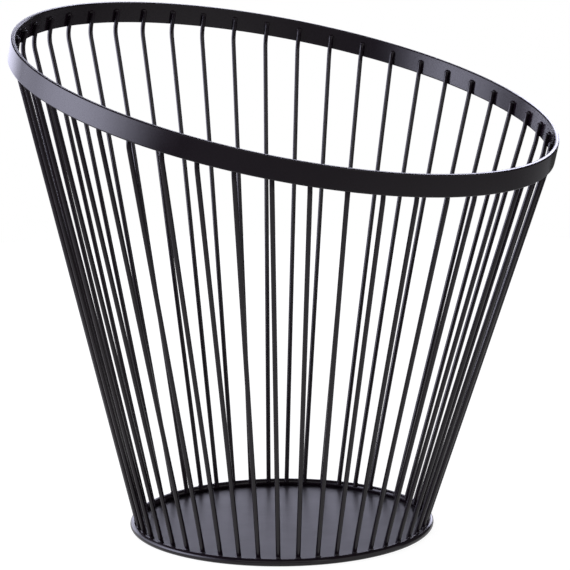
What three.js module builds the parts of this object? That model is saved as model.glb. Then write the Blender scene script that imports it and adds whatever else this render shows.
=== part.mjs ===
// A round wire basket of black powder-coated steel, welded together from a base ring,
// a sheet disc, upright wires and a flat rim hoop that slopes down to one side.
// Millimetres, +Z up, +X towards the low side of the rim, origin under the middle of the base.

import * as THREE from 'three';

// Driving dimensions: base
const baseDiameter = 210; // over the base ring
const ringRodDiameter = 5;
const discThickness = 1;

// Driving dimensions: rim hoop, measured at the middle of its upper edge
const rimDiameter = 373; // over the strip
const rimStripHeight = 15;
const rimStripThickness = 3;
const rimMiddleHeight = 308;
const rimMiddleOffset = 7.2; // towards the low side
const rimTilt = 13.9; // degrees

// Driving dimensions: upright wires
const wireCount = 48;
const wireDiameter = 3;
const footInset = 2; // from the middle of the ring rod inwards to the middle of the cut foot
const footRise = 0.8; // from the top of the ring up to the middle of the cut foot
const footTurn = 0.38; // degrees that the feet stand turned against the upper ends
const bendRadius = 22; // at the middle of the wire
const bendRoom = 0.9; // share of the end beyond a bend that its rounding may take up
const rimAboveWires = 6; // from the cut ends up to the upper edge of the rim

// The feet of the wires at the sides stand this far towards the low side of the rim
const footShift = 0.6;

// The bends round the rim. Depth is from the strip's lower edge down to the bend. Shifts
// are how far the bends and the ends of wires at the sides stand towards the low side.
const bendCourse = [
  { degrees: 0, depth: 5, bendShift: 3.7, endShift: 2 },
  { degrees: 45, depth: 5, bendShift: 3.7, endShift: 2 },
  { degrees: 60, depth: 0, bendShift: 1.5, endShift: 1 },
  { degrees: 85, depth: 0, bendShift: 2.5, endShift: 1.5 },
  { degrees: 105, depth: 1.5, bendShift: 3, endShift: 2 },
  { degrees: 130, depth: 5, bendShift: 3.7, endShift: 2 },
  { degrees: 205, depth: 5, bendShift: 3.7, endShift: 3 },
  { degrees: 228, depth: -3.5, bendShift: 0, endShift: 0 },
  { degrees: 255, depth: -3.5, bendShift: 0, endShift: 0 },
  { degrees: 275, depth: 5, bendShift: 3.7, endShift: 0.3 },
  { degrees: 360, depth: 5, bendShift: 3.7, endShift: 0.3 },
];

// Room between welded pieces
const weldGap = 0.3;

// Facets
const hoopFacets = 96;
const ringRodFacets = 8;
const wireFacets = 8;
const bendSpans = 2; // straight stretches that stand for one bend

const blackCoat = { color: 0x1b1b1d, roughness: 0.42, metalness: 0.0 };

const ringRodRadius = ringRodDiameter / 2;
const ringRadius = baseDiameter / 2 - ringRodRadius;
const wireRadius = wireDiameter / 2;
const rimInnerRadius = rimDiameter / 2 - rimStripThickness;
const tilt = THREE.MathUtils.degToRad(rimTilt);

// The circle inside the rim strip that the middles of the wires' ends stand on
const rimFacetSag = rimInnerRadius * (1 - Math.cos(Math.PI / hoopFacets));
const rimSeatRadius = rimInnerRadius - rimFacetSag - weldGap - wireRadius;

// The rim's own frame: its middle, its axis, and its two directions in the rim plane
const rimMiddle = new THREE.Vector3(rimMiddleOffset, 0, rimMiddleHeight);
const rimAxis = new THREE.Vector3(Math.sin(tilt), 0, Math.cos(tilt));
const rimDownhill = new THREE.Vector3(Math.cos(tilt), 0, -Math.sin(tilt));
const rimSideways = new THREE.Vector3(0, 1, 0);

function namedMesh(name, geometry) {
  const mesh = new THREE.Mesh(geometry, new THREE.MeshStandardMaterial(blackCoat));
  mesh.name = name;
  return mesh;
}

// A closed outline of [radius, height] pairs, turned about Z
function turned(outline, facets) {
  const points = outline.map(([radius, height]) => new THREE.Vector2(radius, height));
  return new THREE.LatheGeometry(points, facets).rotateX(Math.PI / 2);
}

function roundOutline(middleRadius, middleHeight, radius, sides) {
  const outline = [];
  for (let i = 0; i <= sides; i++) {
    const angle = ((i % sides) + 0.5) * (2 * Math.PI / sides);
    outline.push([middleRadius + radius * Math.cos(angle), middleHeight + radius * Math.sin(angle)]);
  }
  return outline;
}

// Base ring: a round rod, flat where it meets the floor
function baseRing() {
  const flatToMiddle = ringRodRadius / Math.cos(Math.PI / ringRodFacets);
  return namedMesh(
    'base_ring',
    turned(roundOutline(ringRadius, ringRodRadius, flatToMiddle, ringRodFacets), hoopFacets),
  );
}

// Base disc: sheet inside the ring, flush with its underside
function baseDisc() {
  const rodHalfWidth = Math.sqrt(ringRodRadius ** 2 - (ringRodRadius - discThickness) ** 2);
  const discRadius = ringRadius - rodHalfWidth - weldGap;
  return namedMesh(
    'base_disc',
    turned([[0, 0], [discRadius, 0], [discRadius, discThickness], [0, discThickness]], hoopFacets),
  );
}

// Rim hoop: flat strip rolled on edge, square to the sloping rim plane
function rimHoop() {
  const outer = rimDiameter / 2;
  const inner = rimInnerRadius;
  const hoop = namedMesh(
    'rim_hoop',
    turned([[inner, 0], [inner, -rimStripHeight], [outer, -rimStripHeight], [outer, 0], [inner, 0]], hoopFacets),
  );
  hoop.position.copy(rimMiddle);
  hoop.rotation.y = tilt;
  return hoop;
}

// Where the middle of a wire stands inside the rim, at this angle and depth
function rimSeat(angle, belowUpperEdge) {
  return rimMiddle.clone()
    .addScaledVector(rimDownhill, rimSeatRadius * Math.cos(angle))
    .addScaledVector(rimSideways, rimSeatRadius * Math.sin(angle))
    .addScaledVector(rimAxis, -belowUpperEdge);
}

// Points on the arc that rounds a corner off, from the side of the point before it
function roundedCorner(pointBefore, corner, pointAfter) {
  const before = pointBefore.clone().sub(corner).normalize();
  const after = pointAfter.clone().sub(corner).normalize();
  const bend = Math.PI - before.angleTo(after);
  const room = bendRoom * corner.distanceTo(pointAfter);
  const reach = Math.min(bendRadius * Math.tan(bend / 2), room);
  const radius = reach / Math.tan(bend / 2);
  const start = corner.clone().addScaledVector(before, reach);
  const towardsMiddle = before.clone().add(after).normalize();
  const middle = corner.clone().addScaledVector(towardsMiddle, radius / Math.cos(bend / 2));
  const turnAxis = before.clone().cross(after).normalize();
  const points = [];
  for (let i = 0; i <= bendSpans; i++) {
    const turn = -bend * (i / bendSpans);
    points.push(start.clone().sub(middle).applyAxisAngle(turnAxis, turn).add(middle));
  }
  return points;
}

// A bent wire's middle line, known at its stations: the two ends and the points on each bend
class WireLine extends THREE.Curve {
  constructor(stations) {
    super();
    this.stations = stations;
  }

  get spans() {
    return this.stations.length - 1;
  }

  getPointAt(u) {
    return this.stations[Math.round(u * this.spans)].clone();
  }

  getTangentAt(u) {
    const i = Math.round(u * this.spans);
    const tangent = new THREE.Vector3();
    if (i < this.spans) {
      tangent.add(this.stations[i + 1].clone().sub(this.stations[i]).normalize());
    }
    if (i > 0) {
      tangent.add(this.stations[i].clone().sub(this.stations[i - 1]).normalize());
    }
    return tangent.normalize();
  }
}

function roundSection(radius, sides) {
  const points = [];
  for (let i = 0; i < sides; i++) {
    const angle = (i + 0.5) * (2 * Math.PI / sides);
    points.push(new THREE.Vector2(radius * Math.cos(angle), radius * Math.sin(angle)));
  }
  return new THREE.Shape(points);
}

// Depth and shifts of the bend at this angle round the rim
function bendAt(angle) {
  const degrees = THREE.MathUtils.radToDeg(angle);
  const next = bendCourse.findIndex((stop) => degrees < stop.degrees);
  const before = bendCourse[next - 1];
  const after = bendCourse[next];
  const share = THREE.MathUtils.inverseLerp(before.degrees, after.degrees, degrees);
  return {
    depth: THREE.MathUtils.lerp(before.depth, after.depth, share),
    bendShift: THREE.MathUtils.lerp(before.bendShift, after.bendShift, share),
    endShift: THREE.MathUtils.lerp(before.endShift, after.endShift, share),
  };
}

// Upright wire: one straight run up from the inner side of the ring, then a bend
// to an end that lies along the inner side of the rim strip
function uprightWire(number) {
  const angle = (number - 0.5) * (2 * Math.PI / wireCount);
  const footRadius = ringRadius - footInset;
  const footAngle = angle + THREE.MathUtils.degToRad(footTurn) - (footShift / footRadius) * Math.sin(angle);
  const { depth, bendShift, endShift } = bendAt(angle);
  const bendAngle = angle - (bendShift / rimSeatRadius) * Math.sin(angle);
  const endAngle = angle - (endShift / rimSeatRadius) * Math.sin(angle);
  const footEnd = new THREE.Vector3(
    footRadius * Math.cos(footAngle),
    footRadius * Math.sin(footAngle),
    ringRodDiameter + footRise,
  );
  const corner = rimSeat(bendAngle, rimStripHeight + depth);
  const rimEnd = rimSeat(endAngle, rimAboveWires);
  const line = new WireLine([footEnd, ...roundedCorner(footEnd, corner, rimEnd), rimEnd]);
  const geometry = new THREE.ExtrudeGeometry(roundSection(wireRadius, wireFacets), {
    steps: line.spans,
    extrudePath: line,
  });
  return namedMesh(`wire_${String(number).padStart(2, '0')}`, geometry);
}

const basket = new THREE.Group();
basket.add(baseRing(), baseDisc(), rimHoop());
for (let number = 1; number <= wireCount; number++) {
  basket.add(uprightWire(number));
}

export default basket;
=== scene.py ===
import math
import random

import bpy
from mathutils import Matrix, Vector


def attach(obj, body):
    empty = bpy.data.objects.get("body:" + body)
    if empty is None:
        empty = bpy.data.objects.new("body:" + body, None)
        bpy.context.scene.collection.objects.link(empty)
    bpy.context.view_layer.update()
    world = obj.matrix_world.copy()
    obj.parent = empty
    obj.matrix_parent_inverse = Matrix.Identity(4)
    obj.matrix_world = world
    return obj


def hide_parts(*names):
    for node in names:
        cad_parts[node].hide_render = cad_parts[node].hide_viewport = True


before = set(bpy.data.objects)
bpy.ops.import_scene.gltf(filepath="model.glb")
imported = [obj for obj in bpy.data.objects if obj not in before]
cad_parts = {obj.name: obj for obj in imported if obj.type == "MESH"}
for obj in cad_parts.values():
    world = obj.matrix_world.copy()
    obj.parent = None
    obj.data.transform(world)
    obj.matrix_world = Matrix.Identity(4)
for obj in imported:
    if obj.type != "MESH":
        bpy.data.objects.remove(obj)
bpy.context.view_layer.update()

# A round wire basket of black powder-coated steel, welded together from a base ring,
# a sheet disc, upright wires and a flat rim strip that slopes down to one side.
# Metres, +Z up, +X towards the low side of the rim, origin under the middle of the base.

# Driving dimensions: base
RING_OUTER_DIAMETER = 0.210
RING_ROD_DIAMETER = 0.005
DISC_THICKNESS = 0.001
DISC_EDGE_RADIUS = 0.0003

# Driving dimensions: rim strip, measured at the middle of its upper edge
RIM_DIAMETER = 0.373  # over the strip
STRIP_HEIGHT = 0.015
STRIP_THICKNESS = 0.003
STRIP_EDGE_RADIUS = 0.0008
RIM_MIDDLE = Vector((0.0072, 0.0, 0.308))
RIM_TILT = math.radians(13.9)

# Driving dimensions: upright wires
WIRE_COUNT = 48
WIRE_DIAMETER = 0.003
FOOT_INSET = 0.002  # from the middle of the ring rod inwards, at the height of the CAD foot
FOOT_RISE = 0.0008  # from the top of the ring up to the CAD foot
FOOT_TURN = math.radians(0.38)  # how far the feet stand turned against the upper ends
FOOT_SHIFT = 0.0006  # towards the low side, for the wires at the sides
FOOT_REACH = 0.0030  # how far the real foot runs on down the inner side of the ring
BEND_RADIUS = 0.022
BEND_ROOM = 0.9  # share of the end beyond a bend that its rounding may take up
RIM_ABOVE_WIRES = 0.006  # from the cut ends up to the upper edge of the rim
WIRE_END_ROUNDING = 0.0003
COAT_FILM = 0.0001  # thickness of the coat on a wire

# The bends round the rim. Depth is from the strip's lower edge down to the bend. Shifts
# are how far the bends and the ends of wires at the sides stand towards the low side.
# Degrees round the rim: (depth, shift of the bend, shift of the end)
BEND_COURSE = {
    0: (0.005, 0.0037, 0.002),
    45: (0.005, 0.0037, 0.002),
    60: (0.0, 0.0015, 0.001),
    85: (0.0, 0.0025, 0.0015),
    105: (0.0015, 0.003, 0.002),
    130: (0.005, 0.0037, 0.002),
    205: (0.005, 0.0037, 0.003),
    228: (-0.0035, 0.0, 0.0),
    255: (-0.0035, 0.0, 0.0),
    275: (0.005, 0.0037, 0.0003),
    360: (0.005, 0.0037, 0.0003),
}

# Driving dimensions: welds
WELD_SINK = 0.0002  # how far a wire is pressed into the strip, and the disc into the ring
FOOT_BEAD = (0.0018, 0.0021, 0.0012)  # half its length, width and depth
RIM_BEAD = (0.0013, 0.0021, 0.0012)
FOOT_BEAD_SEAT = 0.8  # from the middle of the wire out to the middle of the bead, in wire radii
RIM_BEAD_SEAT = 0.7
BEAD_SPREAD = 0.18  # how much a bead may be larger or smaller
BEAD_SEED = 48

# Smoothness of the meshes
HOOP_STEPS = 384
ROD_SIDES = 24
DISC_STEPS = 192
DISC_RINGS = 12
WIRE_SIDES = 16
BEND_STEPS = 8
WIRE_END_STEPS = 3
CORNER_STEPS = 4  # on each rounded edge of the strip and the disc
FLAT_SUPPORT = 0.0001  # from a rounded edge to the points that keep the flats beside it flat
BEAD_RINGS = 6
BEAD_SIDES = 10

FULL_TURN = 2 * math.pi
QUARTER_TURN = math.pi / 2

RING_ROD_RADIUS = RING_ROD_DIAMETER / 2
RING_RADIUS = RING_OUTER_DIAMETER / 2 - RING_ROD_RADIUS
WIRE_RADIUS = WIRE_DIAMETER / 2
COATED_WIRE_RADIUS = WIRE_RADIUS + COAT_FILM
RIM_INNER_RADIUS = RIM_DIAMETER / 2 - STRIP_THICKNESS
SEAT_RADIUS = RIM_INNER_RADIUS - WIRE_RADIUS + WELD_SINK

ORIGIN = Vector((0.0, 0.0, 0.0))
UP = Vector((0.0, 0.0, 1.0))
LOW_SIDE = Vector((1.0, 0.0, 0.0))
SIDEWAYS = Vector((0.0, 1.0, 0.0))

# The rim's own frame: its axis, and its downhill direction in the rim plane
RIM_AXIS = Vector((math.sin(RIM_TILT), 0.0, math.cos(RIM_TILT)))
RIM_DOWNHILL = Vector((math.cos(RIM_TILT), 0.0, -math.sin(RIM_TILT)))


# Sections, as (radius, height) points


def arc_point(middle, radius, turn, beyond=0.0):
    """A point on an arc, or this far beyond it along the tangent."""
    x, y = middle
    return (
        x + radius * math.cos(turn) - beyond * math.sin(turn),
        y + radius * math.sin(turn) + beyond * math.cos(turn),
    )


def quarter_arc(middle, radius, start):
    """Points over a quarter turn from this angle."""
    turns = [start + QUARTER_TURN * i / CORNER_STEPS for i in range(CORNER_STEPS + 1)]
    return [arc_point(middle, radius, turn) for turn in turns]


def rod_section(middle, radius):
    """A round rod."""
    turns = [FULL_TURN * i / ROD_SIDES for i in range(ROD_SIDES)]
    return [arc_point(middle, radius, turn) for turn in turns]


def strip_section(inner, outer, bottom, top, edge_radius):
    """A flat strip on edge, with rounded edges. A point on each side of an edge keeps the flats flat."""
    edges = [
        (outer - edge_radius, top - edge_radius),
        (inner + edge_radius, top - edge_radius),
        (inner + edge_radius, bottom + edge_radius),
        (outer - edge_radius, bottom + edge_radius),
    ]
    section = []
    for i, middle in enumerate(edges):
        start = i * QUARTER_TURN
        section.append(arc_point(middle, edge_radius, start, -FLAT_SUPPORT))
        section.extend(quarter_arc(middle, edge_radius, start))
        section.append(arc_point(middle, edge_radius, start + QUARTER_TURN, FLAT_SUPPORT))
    return section


def disc_section(radius, thickness, edge_radius):
    """Half a disc with rounded edges: from its axis out along the underside, and back on top."""
    flat_radii = [radius * i / DISC_RINGS for i in range(DISC_RINGS)]
    edge_middle = radius - edge_radius
    section = [(flat_radius, 0.0) for flat_radius in flat_radii]
    section.extend(quarter_arc((edge_middle, edge_radius), edge_radius, -QUARTER_TURN))
    section.extend(quarter_arc((edge_middle, thickness - edge_radius), edge_radius, 0.0))
    section.extend((flat_radius, thickness) for flat_radius in reversed(flat_radii))
    return section


# Meshes, as points and faces


def hoop_mesh(section, middle, along_x, along_y, axis):
    """A closed ring with this section."""
    points = []
    for i in range(HOOP_STEPS):
        turn = FULL_TURN * i / HOOP_STEPS
        outward = along_x * math.cos(turn) + along_y * math.sin(turn)
        for radius, height in section:
            points.append(middle + outward * radius + axis * height)
    count = len(section)
    faces = []
    for i in range(HOOP_STEPS):
        here = i * count
        there = ((i + 1) % HOOP_STEPS) * count
        for j in range(count):
            k = (j + 1) % count
            faces.append((here + j, there + j, there + k, here + k))
    return points, faces


def disc_mesh(section):
    """A solid disc, from a section that starts and ends on its axis."""
    (_, bottom), *ring, (_, top) = section
    points = [Vector((0.0, 0.0, bottom)), Vector((0.0, 0.0, top))]
    for i in range(DISC_STEPS):
        turn = FULL_TURN * i / DISC_STEPS
        for radius, height in ring:
            points.append(Vector((radius * math.cos(turn), radius * math.sin(turn), height)))
    count = len(ring)
    faces = []
    for i in range(DISC_STEPS):
        here = 2 + i * count
        there = 2 + ((i + 1) % DISC_STEPS) * count
        faces.append((0, there, here))
        faces.append((1, here + count - 1, there + count - 1))
        for j in range(count - 1):
            faces.append((here + j, there + j, there + j + 1, here + j + 1))
    return points, faces


def cut_end(end, inwards):
    """Middles and radii of the rounded end of a wire, from its cut face inwards."""
    stations = []
    for i in range(WIRE_END_STEPS + 1):
        turn = QUARTER_TURN * i / WIRE_END_STEPS
        depth = WIRE_END_ROUNDING * (1 - math.cos(turn))
        inset = WIRE_END_ROUNDING * (1 - math.sin(turn))
        stations.append((end + inwards * depth, COATED_WIRE_RADIUS - inset))
    return stations


def wire_mesh(line, side_hint):
    """A wire along a line of points, with flat ends whose edges are rounded."""
    first = (line[1] - line[0]).normalized()
    last = (line[-1] - line[-2]).normalized()
    stations = [(middle, first, radius) for middle, radius in cut_end(line[0], first)]
    for i in range(1, len(line) - 1):
        tangent = (line[i + 1] - line[i]).normalized() + (line[i] - line[i - 1]).normalized()
        stations.append((line[i], tangent.normalized(), COATED_WIRE_RADIUS))
    stations.extend((middle, last, radius) for middle, radius in reversed(cut_end(line[-1], -last)))
    points = []
    for middle, tangent, radius in stations:
        side = (side_hint - tangent * side_hint.dot(tangent)).normalized()
        other = tangent.cross(side)
        for j in range(WIRE_SIDES):
            turn = FULL_TURN * j / WIRE_SIDES
            points.append(middle + (side * math.cos(turn) + other * math.sin(turn)) * radius)
    faces = []
    for i in range(len(stations) - 1):
        here = i * WIRE_SIDES
        there = here + WIRE_SIDES
        for j in range(WIRE_SIDES):
            k = (j + 1) % WIRE_SIDES
            faces.append((here + j, here + k, there + k, there + j))
    last_ring = (len(stations) - 1) * WIRE_SIDES
    faces.append(tuple(reversed(range(WIRE_SIDES))))
    faces.append(tuple(range(last_ring, last_ring + WIRE_SIDES)))
    return points, faces


def bead_mesh(middle, along, across, halves):
    """A rounded lump of weld. Halves are half its size along the seam, across it and outwards."""
    out = along.cross(across)
    half_length, half_width, half_depth = halves
    points = [middle - along * half_length]
    for i in range(1, BEAD_RINGS):
        rise = math.pi * i / BEAD_RINGS
        for j in range(BEAD_SIDES):
            turn = FULL_TURN * j / BEAD_SIDES
            points.append(
                middle
                - along * (half_length * math.cos(rise))
                + across * (half_width * math.sin(rise) * math.cos(turn))
                + out * (half_depth * math.sin(rise) * math.sin(turn))
            )
    points.append(middle + along * half_length)
    top = len(points) - 1
    faces = []
    for j in range(BEAD_SIDES):
        k = (j + 1) % BEAD_SIDES
        faces.append((0, 1 + k, 1 + j))
        faces.append((top, top - BEAD_SIDES + j, top - BEAD_SIDES + k))
        for i in range(BEAD_RINGS - 2):
            here = 1 + i * BEAD_SIDES
            there = here + BEAD_SIDES
            faces.append((here + j, here + k, there + k, there + j))
    return points, faces


def joined(meshes):
    """Several meshes as one."""
    points = []
    faces = []
    for more_points, more_faces in meshes:
        first = len(points)
        points.extend(more_points)
        faces.extend(tuple(first + corner for corner in face) for face in more_faces)
    return points, faces


# Where the wires run


def rim_seat(angle, below_upper_edge):
    """Where the middle of a wire stands inside the rim, at this angle and depth."""
    return (
        RIM_MIDDLE
        + RIM_DOWNHILL * (SEAT_RADIUS * math.cos(angle))
        + SIDEWAYS * (SEAT_RADIUS * math.sin(angle))
        - RIM_AXIS * below_upper_edge
    )


def wire_angle(number):
    """The even angle that a wire's place is worked out from."""
    return (number - 0.5) * (FULL_TURN / WIRE_COUNT)


def bend_at(angle):
    """Depth, shift of the bend and shift of the end, at this angle round the rim."""
    degrees = math.degrees(angle)
    start = max(stop for stop in BEND_COURSE if stop <= degrees)
    end = min(stop for stop in BEND_COURSE if stop > degrees)
    share = (degrees - start) / (end - start)
    pairs = zip(BEND_COURSE[start], BEND_COURSE[end])
    return [before + (after - before) * share for before, after in pairs]


def rounded_corner(point_before, corner, point_after):
    """Points on the arc that rounds a corner off, from the side of the point before it."""
    before = (point_before - corner).normalized()
    after = (point_after - corner).normalized()
    bend = math.pi - before.angle(after)
    reach = min(BEND_RADIUS * math.tan(bend / 2), BEND_ROOM * (point_after - corner).length)
    radius = reach / math.tan(bend / 2)
    start = corner + before * reach
    middle = corner + (before + after).normalized() * (radius / math.cos(bend / 2))
    turn_axis = before.cross(after).normalized()
    points = []
    for i in range(BEND_STEPS + 1):
        turn = Matrix.Rotation(-bend * i / BEND_STEPS, 3, turn_axis)
        points.append(middle + turn @ (start - middle))
    return points


def wire_line(number):
    """The bent middle line of one upright wire, from its foot to its cut upper end."""
    angle = wire_angle(number)
    foot_radius = RING_RADIUS - FOOT_INSET
    foot_angle = angle + FOOT_TURN - FOOT_SHIFT / foot_radius * math.sin(angle)
    depth, bend_shift, end_shift = bend_at(angle)
    bend_angle = angle - bend_shift / SEAT_RADIUS * math.sin(angle)
    end_angle = angle - end_shift / SEAT_RADIUS * math.sin(angle)
    foot = Vector(
        (
            foot_radius * math.cos(foot_angle),
            foot_radius * math.sin(foot_angle),
            RING_ROD_DIAMETER + FOOT_RISE,
        )
    )
    corner = rim_seat(bend_angle, STRIP_HEIGHT + depth)
    rim_end = rim_seat(end_angle, RIM_ABOVE_WIRES)
    foot_end = foot + (foot - corner).normalized() * FOOT_REACH
    return [foot_end, *rounded_corner(foot_end, corner, rim_end), rim_end]


# Welds


def uneven(halves, draw):
    """The same bead, a little larger or smaller each way."""
    return [half * draw.uniform(1 - BEAD_SPREAD, 1 + BEAD_SPREAD) for half in halves]


def foot_bead(number, draw):
    """The weld between a wire and the inner side of the ring."""
    line = wire_line(number)
    along = (line[1] - line[0]).normalized()
    place = line[0] + along * FOOT_REACH / 2
    outward = Vector((place.x, place.y, 0.0)).normalized()
    across = UP.cross(outward)
    across = (across - along * across.dot(along)).normalized()
    middle = place + outward * WIRE_RADIUS * FOOT_BEAD_SEAT
    return bead_mesh(middle, along, across, uneven(FOOT_BEAD, draw))


def rim_bead(number, draw):
    """The weld at a wire's cut upper end, against the strip."""
    end = wire_line(number)[-1]
    outward = end - RIM_MIDDLE
    outward = (outward - RIM_AXIS * outward.dot(RIM_AXIS)).normalized()
    across = RIM_AXIS.cross(outward)
    middle = end + outward * WIRE_RADIUS * RIM_BEAD_SEAT
    return bead_mesh(middle, RIM_AXIS, across, uneven(RIM_BEAD, draw))


# Shader nodes

# The sockets of a mix node that carry colours
MIX_COLOR_A = 6
MIX_COLOR_B = 7
MIXED_COLOR = 2


def add_node(tree, kind, **values):
    """A shader node with these values on its sockets."""
    node = tree.nodes.new(kind)
    for name, value in values.items():
        node.inputs[name].default_value = value
    return node


def empty_tree(owner):
    """The emptied node tree of a material or a world."""
    owner.use_nodes = True
    owner.node_tree.nodes.clear()
    return owner.node_tree


def link(tree, source, output, target, socket):
    """Joins an output of one node to a socket of another. Each is a name or a number."""
    tree.links.new(source.outputs[output], target.inputs[socket])


def grey(value):
    return (value, value, value, 1.0)


def map_range(tree, from_range, to_range):
    """A node that turns one range of values into another."""
    node = add_node(tree, "ShaderNodeMapRange")
    node.inputs["From Min"].default_value = from_range[0]
    node.inputs["From Max"].default_value = from_range[1]
    node.inputs["To Min"].default_value = to_range[0]
    node.inputs["To Max"].default_value = to_range[1]
    return node


# Powder coat

COAT_BLACK = (0.0070, 0.0038, 0.0069)  # with a trace of purple
COAT_IOR = 1.5
PATCH_SCALE = 38.0
PATCH_DETAIL = 4.0
PATCH_ROUGHNESS = 0.6
PATCH_NOISE = (0.3, 0.7)  # the noise values between which the satin changes
SATIN_SPREAD = 0.03  # how much smoother or rougher than the coat a patch is
PATCH_SHADES = (0.85, 1.2)  # the darkest and the lightest patch against the coat's colour
PEEL_SCALE = 900.0
PEEL_DETAIL = 2.0
PEEL_DEPTH = 0.00005


def powder_coat(name, roughness, grain):
    """Black powder coat: a fine orange-peel grain, an uneven satin and slightly rubbed patches."""
    material = bpy.data.materials.new(name)
    tree = empty_tree(material)
    output = add_node(tree, "ShaderNodeOutputMaterial")
    shader = add_node(tree, "ShaderNodeBsdfPrincipled", IOR=COAT_IOR)
    link(tree, shader, "BSDF", output, "Surface")
    place = add_node(tree, "ShaderNodeTexCoord")

    patches = add_node(
        tree,
        "ShaderNodeTexNoise",
        Scale=PATCH_SCALE,
        Detail=PATCH_DETAIL,
        Roughness=PATCH_ROUGHNESS,
    )
    link(tree, place, "Object", patches, "Vector")
    satin = map_range(tree, PATCH_NOISE, (roughness - SATIN_SPREAD, roughness + SATIN_SPREAD))
    link(tree, patches, "Fac", satin, "Value")
    link(tree, satin, "Result", shader, "Roughness")

    dark, light = PATCH_SHADES
    tint = add_node(tree, "ShaderNodeMix")
    tint.data_type = "RGBA"
    tint.inputs[MIX_COLOR_A].default_value = (*[part * dark for part in COAT_BLACK], 1.0)
    tint.inputs[MIX_COLOR_B].default_value = (*[part * light for part in COAT_BLACK], 1.0)
    link(tree, patches, "Fac", tint, "Factor")
    link(tree, tint, MIXED_COLOR, shader, "Base Color")

    peel = add_node(tree, "ShaderNodeTexNoise", Scale=PEEL_SCALE, Detail=PEEL_DETAIL)
    link(tree, place, "Object", peel, "Vector")
    bump = add_node(tree, "ShaderNodeBump", Strength=grain, Distance=PEEL_DEPTH)
    link(tree, peel, "Fac", bump, "Height")
    link(tree, bump, "Normal", shader, "Normal")
    return material


coat = powder_coat("powder_coat", roughness=0.16, grain=0.02)
disc_coat = powder_coat("powder_coat_disc", roughness=0.34, grain=0.3)


# Pieces


def add_piece(name, mesh_data, material, nodes=()):
    """A smooth-shaded piece of the basket. It stands for the CAD nodes given, if any."""
    points, faces = mesh_data
    mesh = bpy.data.meshes.new(name)
    mesh.from_pydata(points, [], faces)
    mesh.polygons.foreach_set("use_smooth", [True] * len(mesh.polygons))
    mesh.update()
    piece = bpy.data.objects.new(name, mesh)
    bpy.context.scene.collection.objects.link(piece)
    if nodes:
        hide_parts(*nodes)
    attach(piece, "root")
    piece.data.materials.append(material)


def base_rod():
    """The ring that the basket stands on, a round rod bent to a circle."""
    section = rod_section((RING_RADIUS, RING_ROD_RADIUS), RING_ROD_RADIUS)
    ring = hoop_mesh(section, ORIGIN, LOW_SIDE, SIDEWAYS, UP)
    add_piece("base_rod", ring, coat, ["base_ring"])


def base_sheet():
    """The disc inside the ring, level with its underside."""
    rod_half_width = math.sqrt(RING_ROD_RADIUS**2 - (RING_ROD_RADIUS - DISC_THICKNESS) ** 2)
    disc_radius = RING_RADIUS - rod_half_width + WELD_SINK
    section = disc_section(disc_radius, DISC_THICKNESS, DISC_EDGE_RADIUS)
    add_piece("base_sheet", disc_mesh(section), disc_coat, ["base_disc"])


def rim_strip():
    """The flat strip round the mouth, square to the sloping rim plane."""
    section = strip_section(RIM_INNER_RADIUS, RIM_DIAMETER / 2, -STRIP_HEIGHT, 0.0, STRIP_EDGE_RADIUS)
    hoop = hoop_mesh(section, RIM_MIDDLE, RIM_DOWNHILL, SIDEWAYS, RIM_AXIS)
    add_piece("rim_strip", hoop, coat, ["rim_hoop"])


def upright(number):
    """One upright wire."""
    angle = wire_angle(number)
    side_hint = Vector((-math.sin(angle), math.cos(angle), 0.0))
    wire = wire_mesh(wire_line(number), side_hint)
    add_piece(f"upright_{number:02d}", wire, coat, [f"wire_{number:02d}"])


def welds():
    """The weld beads at the feet and at the cut ends."""
    draw = random.Random(BEAD_SEED)
    numbers = range(1, WIRE_COUNT + 1)
    add_piece("foot_welds", joined([foot_bead(number, draw) for number in numbers]), coat)
    add_piece("rim_welds", joined([rim_bead(number, draw) for number in numbers]), coat)


base_rod()
base_sheet()
rim_strip()
for number in range(1, WIRE_COUNT + 1):
    upright(number)
welds()


# Floor

FLOOR_RADIUS = 1.2
FLOOR_SIDES = 64
FLOOR_PAINT = 0.22  # share of the light that it gives back
FLOOR_LIFT = 0.88  # added where the camera sees the floor, which makes it white
FLOOR_GLOW = 0.4  # how bright the coat mirrors the floor near the basket
NEAR_FLOOR = 0.38  # radius of the part that is mirrored that brightly
FAR_FLOOR = 0.72  # where the mirrored floor has faded out


def floor_paint():
    """Grey paint, made white to the camera by light of its own. The coat mirrors that nearby."""
    material = bpy.data.materials.new("white_floor")
    tree = empty_tree(material)
    output = add_node(tree, "ShaderNodeOutputMaterial")
    paint = add_node(tree, "ShaderNodeBsdfDiffuse", Color=grey(FLOOR_PAINT))
    lift = add_node(tree, "ShaderNodeEmission", Color=grey(1.0))
    both = add_node(tree, "ShaderNodeAddShader")
    link(tree, paint, "BSDF", both, 0)
    link(tree, lift, "Emission", both, 1)
    link(tree, both, "Shader", output, "Surface")

    place = add_node(tree, "ShaderNodeTexCoord")
    distance = add_node(tree, "ShaderNodeVectorMath")
    distance.operation = "LENGTH"
    link(tree, place, "Object", distance, 0)
    glow = map_range(tree, (NEAR_FLOOR, FAR_FLOOR), (FLOOR_GLOW, 0.0))
    link(tree, distance, "Value", glow, "Value")

    # Strength of its own light: camera ray times lift, plus glossy ray times glow
    seen = add_node(tree, "ShaderNodeLightPath")
    mirrored = add_node(tree, "ShaderNodeMath")
    mirrored.operation = "MULTIPLY"
    link(tree, seen, "Is Glossy Ray", mirrored, 0)
    link(tree, glow, "Result", mirrored, 1)
    amount = add_node(tree, "ShaderNodeMath")
    amount.operation = "MULTIPLY_ADD"
    amount.inputs[1].default_value = FLOOR_LIFT
    link(tree, seen, "Is Camera Ray", amount, 0)
    link(tree, mirrored, "Value", amount, 2)
    link(tree, amount, "Value", lift, "Strength")
    return material


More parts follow.
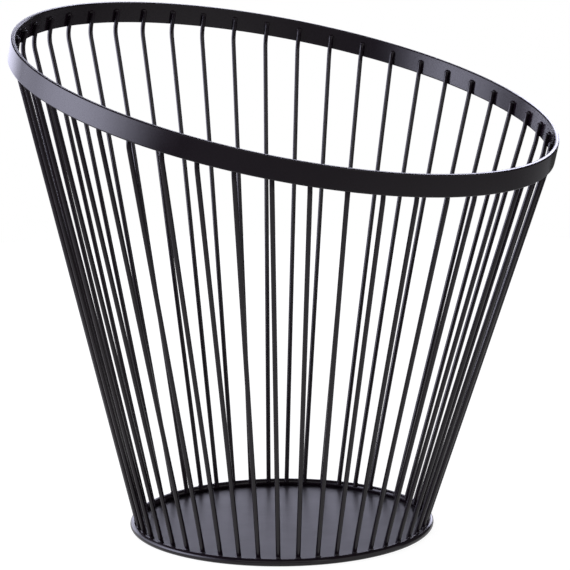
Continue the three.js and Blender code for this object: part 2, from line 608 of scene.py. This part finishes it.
def floor():
    """A plain floor, white to the camera. It keeps the basket's soft shadow."""
    mesh = bpy.data.meshes.new("floor")
    points = []
    for i in range(FLOOR_SIDES):
        turn = FULL_TURN * i / FLOOR_SIDES
        points.append((FLOOR_RADIUS * math.cos(turn), FLOOR_RADIUS * math.sin(turn), 0.0))
    mesh.from_pydata(points, [], [tuple(range(FLOOR_SIDES))])
    piece = bpy.data.objects.new("floor", mesh)
    bpy.context.scene.collection.objects.link(piece)
    mesh.materials.append(floor_paint())


floor()


# World

BACKDROP = 1.0  # behind the basket, white
ROOM_LIGHT = 0.6  # from all round onto the basket
MIRRORED_ROOM = 0.06  # where the coat mirrors the room


def studio():
    """A white backdrop for the camera, and soft light from all round."""
    world = bpy.data.worlds.new("studio")
    bpy.context.scene.world = world
    tree = empty_tree(world)
    output = add_node(tree, "ShaderNodeOutputWorld")
    white = add_node(tree, "ShaderNodeBackground", Color=grey(1.0), Strength=BACKDROP)
    room = add_node(tree, "ShaderNodeBackground", Color=grey(1.0), Strength=ROOM_LIGHT)
    dim = add_node(tree, "ShaderNodeBackground", Color=grey(1.0), Strength=MIRRORED_ROOM)
    seen = add_node(tree, "ShaderNodeLightPath")
    room_or_dim = add_node(tree, "ShaderNodeMixShader")
    link(tree, seen, "Is Glossy Ray", room_or_dim, 0)
    link(tree, room, "Background", room_or_dim, 1)
    link(tree, dim, "Background", room_or_dim, 2)
    light_or_white = add_node(tree, "ShaderNodeMixShader")
    link(tree, seen, "Is Camera Ray", light_or_white, 0)
    link(tree, room_or_dim, "Shader", light_or_white, 1)
    link(tree, white, "Background", light_or_white, 2)
    link(tree, light_or_white, "Shader", output, "Surface")


studio()


# Lamps

CAMERA_AZIMUTH = -54.06  # degrees, seen from the basket
LAMP_AIM = Vector((0.0, 0.0, 0.17))  # the point that the lamps face
WALL_STEP = 5.0  # degrees round the basket that each softbox of a curved wall takes up
LILAC = (0.84, 0.84, 1.05)
WHITE = (1.0, 1.0, 1.0)


def softbox(name, place, size, brightness, color):
    """A soft rectangular lamp that faces the basket.

    Place is the degrees to the left of the camera, the degrees up and the metres from where
    the lamps aim. Size is width and height. Brightness is how bright the lamp's face looks,
    white being 1.
    """
    left, elevation, distance = place
    width, height = size
    azimuth = math.radians(CAMERA_AZIMUTH - left)
    rise = math.radians(elevation)
    out = Vector(
        (math.cos(azimuth) * math.cos(rise), math.sin(azimuth) * math.cos(rise), math.sin(rise))
    )
    lamp = bpy.data.lights.new(name, "AREA")
    lamp.shape = "RECTANGLE"
    lamp.size = width
    lamp.size_y = height
    lamp.energy = brightness * math.pi * width * height
    lamp.color = color
    holder = bpy.data.objects.new(name, lamp)
    holder.location = LAMP_AIM + out * distance
    holder.rotation_mode = "QUATERNION"
    holder.rotation_quaternion = (-out).to_track_quat("-Z", "Y")
    holder.visible_camera = False
    bpy.context.scene.collection.objects.link(holder)


def curved_wall(name, place, reach, fades, height, brightness, color):
    """A curved wall of softboxes, side by side round the basket.

    It reaches this many degrees from its middle to either side. Fades are the degrees in
    which it dims towards the camera and towards the back.
    """
    middle, elevation, distance = place
    width = 2 * distance * math.tan(math.radians(WALL_STEP / 2))
    count = round(2 * reach / WALL_STEP) + 1
    for i in range(count):
        turn = -reach + i * WALL_STEP
        fade = fades[0] if turn < 0 else fades[1]
        softbox(
            f"{name}_{i + 1}",
            place=(middle + turn, elevation, distance),
            size=(width, height),
            brightness=brightness * math.exp(-((turn / fade) ** 2)),
            color=color,
        )


def left_walls():
    """Light walls that the outer side of the rim strip mirrors at the left."""
    curved_wall(
        "left_wall",
        place=(80.0, 10.5, 1.4),
        reach=45.0,
        fades=(24.0, 34.0),
        height=0.84,
        brightness=5.3,
        color=LILAC,
    )
    curved_wall(
        "left_back_wall",
        place=(146.0, 5.0, 1.8),
        reach=25.0,
        fades=(17.0, 32.0),
        height=0.74,
        brightness=2.1,
        color=LILAC,
    )


def back_lamps():
    """Lamps behind the basket. The upper face of the rim strip mirrors the narrow ones."""
    softbox("back_wall", (184.0, 9.0, 2.1), size=(1.4, 0.75), brightness=1.1, color=LILAC)
    softbox("low_back_strip", (187.0, 24.9, 2.02), size=(1.6, 0.08), brightness=5.0, color=LILAC)
    softbox("middle_back_strip", (187.0, 26.7, 2.05), size=(1.6, 0.07), brightness=1.5, color=LILAC)
    softbox("high_back_strip", (187.0, 29.1, 2.09), size=(1.6, 0.16), brightness=0.3, color=LILAC)
    softbox("right_back_strip", (198.2, 22.9, 2.08), size=(0.2, 0.2), brightness=4.6, color=LILAC)
    softbox("right_back_softbox", (202.0, 5.0, 2.0), size=(0.5, 0.6), brightness=2.5, color=LILAC)


def fill_lamps():
    """Soft light from the front and from the right."""
    softbox("front_fill", (0.0, 27.0, 1.6), size=(2.0, 0.9), brightness=0.6, color=WHITE)
    softbox("right_fill", (-60.0, 10.0, 1.6), size=(2.4, 0.9), brightness=0.55, color=WHITE)


left_walls()
back_lamps()
fill_lamps()


# Camera

LENS = 167.02  # millimetres, as is the sensor's width
SENSOR = 36.0
CAMERA_PLACE = Vector((1.0402, -1.4350, 0.5030))
LOOK_AZIMUTH = math.radians(125.828)
LOOK_DOWN = math.radians(10.692)
ROLL = math.radians(0.4548)


def camera_turn():
    """The camera's turn as a matrix: it looks forward, and rolls about that direction."""
    forward = Vector(
        (
            math.cos(LOOK_AZIMUTH) * math.cos(LOOK_DOWN),
            math.sin(LOOK_AZIMUTH) * math.cos(LOOK_DOWN),
            -math.sin(LOOK_DOWN),
        )
    )
    level_right = forward.cross(UP).normalized()
    level_down = forward.cross(level_right).normalized()
    right = level_right * math.cos(ROLL) + level_down * math.sin(ROLL)
    down = level_down * math.cos(ROLL) - level_right * math.sin(ROLL)
    return Matrix((right, -down, -forward)).transposed()


def camera():
    """The scene's camera, where the photo was taken from."""
    data = bpy.data.cameras.new("camera")
    data.lens = LENS
    data.sensor_width = SENSOR
    holder = bpy.data.objects.new("camera", data)
    holder.matrix_world = Matrix.Translation(CAMERA_PLACE) @ camera_turn().to_4x4()
    bpy.context.scene.collection.objects.link(holder)
    bpy.context.scene.camera = holder


camera()

bpy.context.scene.view_settings.view_transform = "Standard"
